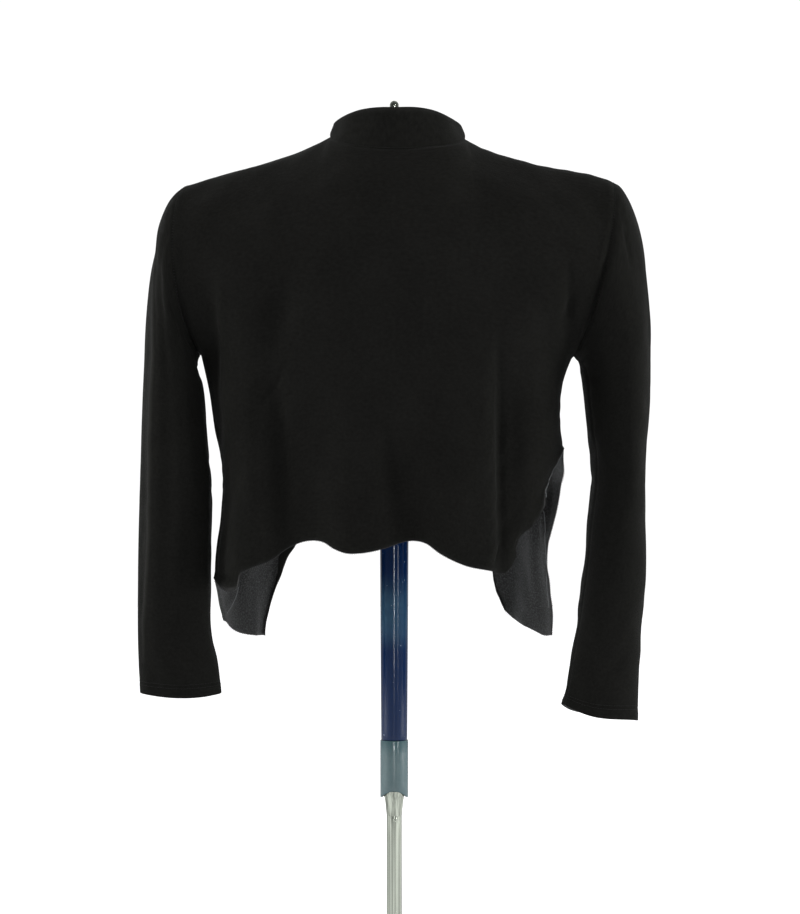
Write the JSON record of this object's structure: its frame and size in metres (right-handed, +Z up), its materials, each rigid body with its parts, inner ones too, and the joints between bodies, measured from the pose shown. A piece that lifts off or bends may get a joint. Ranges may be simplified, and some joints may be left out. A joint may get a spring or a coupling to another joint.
{
  "type": "cardigan on a display stand",
  "caption": "Cropped open-front black jersey cardigan with a stand collar, hanging hollow on the shoulder form of a slim post stand with a round foot.",
  "frame": {"origin": "centre of the underside of the round foot, on the stand's axis, at floor level", "axes": "+Z up along the post; the cardigan's open front faces -Y and its back faces +Y; the wearer's left is +X"},
  "size_m": [0.531, 0.3, 0.8835],
  "materials": {
    "jersey": "black brushed-back jersey, matt with a faint sheen, dark grey reverse",
    "form_plastic": "satin moulded",
    "navy_gloss": "gloss",
    "grey_plastic": "satin",
    "chrome": "polished"
  },
  "bodies": {
    "root": {"back": "jersey", "front_left": "jersey", "front_right": "jersey", "sleeve_left": "jersey", "sleeve_right": "jersey", "collar": "jersey", "shoulder_form": "form_plastic", "neck_rod": "chrome", "post": "navy_gloss", "ferrule": "grey_plastic", "flare": "chrome", "tube": "chrome", "base": "chrome"}
  },
  "joints": []
}
